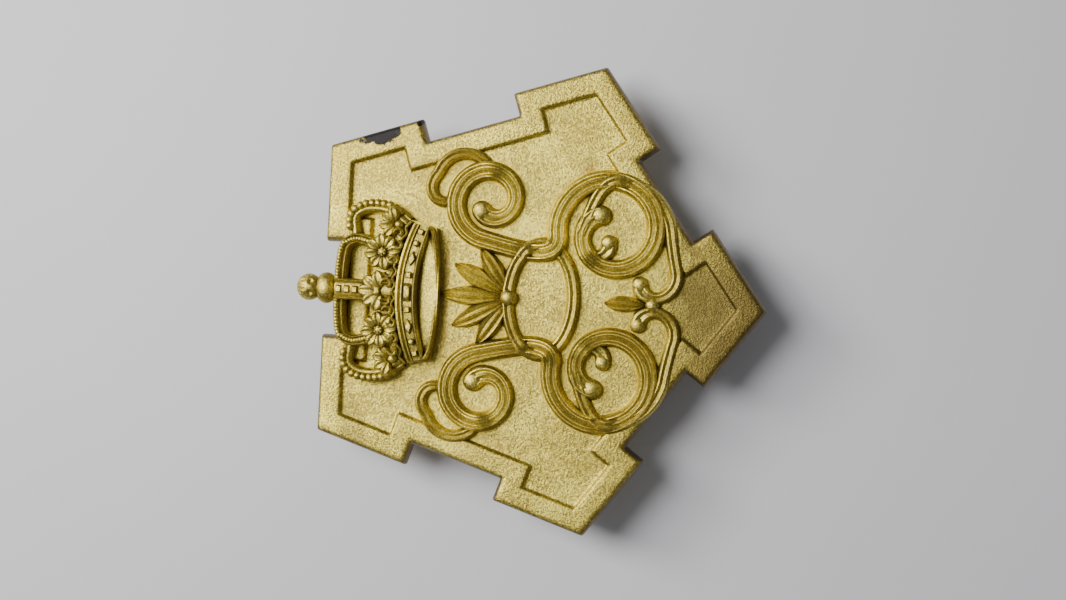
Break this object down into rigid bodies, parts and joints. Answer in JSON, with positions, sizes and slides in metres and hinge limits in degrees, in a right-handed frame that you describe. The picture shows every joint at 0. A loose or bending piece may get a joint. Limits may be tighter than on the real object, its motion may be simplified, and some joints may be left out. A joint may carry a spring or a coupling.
{
  "type": "cap badge",
  "caption": "Bastioned pentagon cap badge in gilt brass with an applied crown and scrollwork, fastened by knurled nuts on threaded posts.",
  "frame": {"origin": "centre of the pentagon on the plate's flat back face", "axes": "+Z out of the badge's face, +Y towards the crown, +X to the viewer's right"},
  "size_m": [0.0442, 0.0444, 0.0094],
  "materials": {
    "gilt_brass": "sandblasted gilt, satin",
    "rivet_brass": "filed flush, dull",
    "turned_brass": "turned, slightly tarnished",
    "solder": "dull grey hard solder"
  },
  "bodies": {
    "badge": {"plate": "gilt_brass", "crown": "gilt_brass", "scrollwork": "gilt_brass", "crown_rivet_left": "rivet_brass", "scroll_rivet_upper_left": "rivet_brass", "scroll_rivet_lower_left": "rivet_brass", "crown_rivet_right": "rivet_brass", "scroll_rivet_upper_right": "rivet_brass", "scroll_rivet_lower_right": "rivet_brass", "left_post": "turned_brass", "left_post_solder": "solder", "right_post": "turned_brass", "right_post_solder": "solder"},
    "left_washer": {"left_washer": "turned_brass"},
    "left_nut": {"left_nut": "turned_brass"},
    "right_washer": {"right_washer": "turned_brass"},
    "right_nut": {"right_nut": "turned_brass"}
  },
  "joints": [
    {"name": "left_washer_travel", "type": "slide", "parent": "badge", "child": "left_washer", "axis": [0, 0, 1], "range_m": [0, 0.00237]},
    {"name": "left_nut_spin", "type": "hinge", "parent": "left_washer", "child": "left_nut", "pos_m": [-0.011, 0.002, -0.0041], "axis": [0, 0, 1], "range_deg": [0, 1711]},
    {"name": "right_washer_travel", "type": "slide", "parent": "badge", "child": "right_washer", "axis": [0, 0, 1], "range_m": [0, 0.00237]},
    {"name": "right_nut_spin", "type": "hinge", "parent": "right_washer", "child": "right_nut", "pos_m": [0.011, 0.002, -0.0041], "axis": [0, 0, 1], "range_deg": [0, 1711]}
  ],
  "couplings": [
    {"joint": "left_nut_spin", "follows": "left_washer_travel", "rad_per_m": 12566},
    {"joint": "right_nut_spin", "follows": "right_washer_travel", "rad_per_m": 12566}
  ]
}
